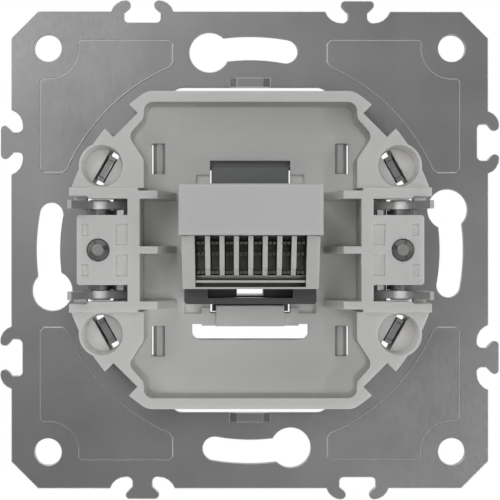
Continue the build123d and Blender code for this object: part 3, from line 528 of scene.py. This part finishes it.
def slotted_head(centre_x):
    """Grid of the pan head over strips of x, which rises as h (1 - rho^n)^(1/n) from the plate's front.

    Inside the slot's width it is cut down to the slot's floor, and each wall of the slot is two
    columns in one place.
    """
    edge = head_r * np.sin(np.linspace(-np.pi / 2, np.pi / 2, head_columns))
    outside = edge[np.abs(edge) > slot_margin]
    columns = np.sort(np.concatenate([outside, [-slot_half, -slot_half, 0, slot_half, slot_half]]))
    inside = np.abs(columns) < slot_half / 2
    walls = np.flatnonzero(np.isclose(np.abs(columns), slot_half))
    inside[walls[1:3]] = True
    height_share = np.sin(np.linspace(-np.pi / 2, np.pi / 2, head_rows))
    x = np.tile(columns[:, None], (1, head_rows))
    z = height_share[None, :] * np.sqrt(np.maximum(head_r**2 - x**2, 0))
    rho = np.clip(np.hypot(x, z) / head_r, 0, 1)
    rise = head_height * (1 - rho**dome_power) ** (1 / dome_power)
    rise = np.where(inside[:, None], np.minimum(rise, head_height - slot_floor), rise)
    return np.stack([centre_x + x, plate_front + rise, z], -1)


def grid_faces(rows, columns, start):
    """Quads of an open grid of points, counted from start."""
    row = np.arange(rows - 1)[:, None] * columns
    col = np.arange(columns - 1)[None, :]
    first = start + row + col
    return np.stack([first, first + 1, first + columns + 1, first + columns], -1).reshape(-1, 4).tolist()


def whole_screw(centre_x):
    """Points and faces of a screw: its rim, shank and point as rings, and the head's grid over the rim.

    The grid takes the place of the fan that would close the rim.
    """
    angle = np.linspace(0, 2 * np.pi, thread_sides, endpoint=False)
    rim_level = np.full(thread_sides, plate_front)
    rim = np.stack([centre_x + head_r * np.cos(angle), rim_level, head_r * np.sin(angle)], -1)
    rings = np.concatenate([rim[None], threaded_shank(centre_x)])
    points, faces = closed_skin(rings)
    rim_pole = len(rings) * thread_sides
    faces = [face for face in faces if rim_pole not in face]
    dome = slotted_head(centre_x)
    faces += grid_faces(dome.shape[0], dome.shape[1], len(points))
    return np.concatenate([points, dome.reshape(-1, 3)]), faces


for side, axis_x in (("left", -screw_axis_x), ("right", screw_axis_x)):
    points, faces = whole_screw(axis_x)
    screw_node = f"claw_screw_{side}"
    piece_from(
        f"threaded_screw_{side}", points, faces, screw_finish, f"screw_{side}", [screw_node]
    )

# Floor: a plain pale ground. The part hangs well above it, as it would on a wall, so that
# the floor takes no light from the low lamps.
floor_half = 1.2
floor_drop = 0.17
floor_level = cad_low.z - floor_drop
floor_outline = [
    (-floor_half, -floor_half, floor_level),
    (floor_half, -floor_half, floor_level),
    (floor_half, floor_half, floor_level),
    (-floor_half, floor_half, floor_level),
]
floor_mesh = bpy.data.meshes.new("floor")
floor_mesh.from_pydata(floor_outline, [], [(0, 1, 2, 3)])
floor = bpy.data.objects.new("floor", floor_mesh)
bpy.context.scene.collection.objects.link(floor)
floor_paint, _, floor_shader = blank_material("floor_pale")
socket(floor_shader, "Base Color", (0.82, 0.82, 0.82, 1))
socket(floor_shader, "Roughness", 0.9)
floor_mesh.materials.append(floor_paint)

# World: soft even light from all round, and plain white to the camera, in reflections and
# through clear things.
world = bpy.data.worlds.new("studio")
bpy.context.scene.world = world
world.use_nodes = True
sky = world.node_tree
sky.nodes.clear()
even = sky.nodes.new("ShaderNodeBackground")
white = sky.nodes.new("ShaderNodeBackground")
path_kind = sky.nodes.new("ShaderNodeLightPath")
seen = sky.nodes.new("ShaderNodeMath")
seen_or_through = sky.nodes.new("ShaderNodeMath")
blend_sky = sky.nodes.new("ShaderNodeMixShader")
sky_out = sky.nodes.new("ShaderNodeOutputWorld")
seen.operation = "MAXIMUM"
seen_or_through.operation = "MAXIMUM"
socket(even, "Strength", 0.38)
socket(white, "Strength", 1.0)
socket(even, "Color", (1, 1, 1, 1))
socket(white, "Color", (1, 1, 1, 1))
sky.links.new(path_kind.outputs["Is Camera Ray"], seen.inputs[0])
sky.links.new(path_kind.outputs["Is Glossy Ray"], seen.inputs[1])
sky.links.new(seen.outputs[0], seen_or_through.inputs[0])
sky.links.new(path_kind.outputs["Is Transmission Ray"], seen_or_through.inputs[1])
sky.links.new(seen_or_through.outputs[0], blend_sky.inputs["Fac"])
sky.links.new(even.outputs[0], blend_sky.inputs[1])
sky.links.new(white.outputs[0], blend_sky.inputs[2])
sky.links.new(blend_sky.outputs[0], sky_out.inputs["Surface"])

# Lamps: square softboxes round the part, and a soft-edged beam from the front right. Those
# that would stand as hard patches in the plating light the part without being mirrored in it.


def aimed(name, lamp, place, target, mirrored):
    """Hangs a lamp at place, turned to target, and seen in the metal or not."""
    stand = bpy.data.objects.new(name, lamp)
    bpy.context.scene.collection.objects.link(stand)
    stand.location = place
    stand.rotation_mode = "QUATERNION"
    stand.rotation_quaternion = (Vector(target) - Vector(place)).to_track_quat("-Z", "Y")
    stand.visible_glossy = mirrored


def softbox(name, place, size, watts, mirrored=True):
    """Square area lamp turned to the middle of the part."""
    lamp = bpy.data.lights.new(name, "AREA")
    lamp.shape = "SQUARE"
    lamp.size = size
    lamp.energy = watts
    aimed(name, lamp, place, (0, 0, 0), mirrored)


softbox("key", (-0.17, -0.52, 0.17), size=0.22, watts=0.95)
softbox("low_right", (0.15, -0.50, -0.14), size=0.2, watts=0.42)
softbox("over_lens", (-0.01, -0.60, -0.02), size=0.06, watts=0.34, mirrored=False)
softbox("from_right", (0.62, -0.42, -0.06), size=0.4, watts=0.8, mirrored=False)
softbox("room_side", (0.3, 0.7, 0.5), size=0.6, watts=4.6)
beam = bpy.data.lights.new("front", "SPOT")
beam.energy = 10.5
beam.shadow_soft_size = 0.065
beam.spot_size = 0.150
beam.spot_blend = 1.0
aimed("front", beam, (0.42, -0.96, 0.0), (-0.04, 0, 0), mirrored=False)

# Camera: square on to the rear of the part, behind its plate and a touch left of its middle.
# The focal length makes the picture's pixels as wide at the plate as pixel_width says.
eye_distance = 0.270
eye_side = -0.0017
picture_pixels = 500
pixel_width = 0.0001487
lens = bpy.data.cameras.new("camera")
lens.sensor_width = 36.0
lens.lens = lens.sensor_width * eye_distance / (picture_pixels * pixel_width)
lens.clip_start = 0.01
lens.clip_end = 10
camera = bpy.data.objects.new("camera", lens)
bpy.context.scene.collection.objects.link(camera)
camera.location = (eye_side, -eye_distance, 0)
camera.rotation_mode = "QUATERNION"
camera.rotation_quaternion = Vector((-eye_side, eye_distance, 0)).to_track_quat("-Z", "Y")
bpy.context.scene.camera = camera
bpy.context.scene.view_settings.view_transform = "Standard"
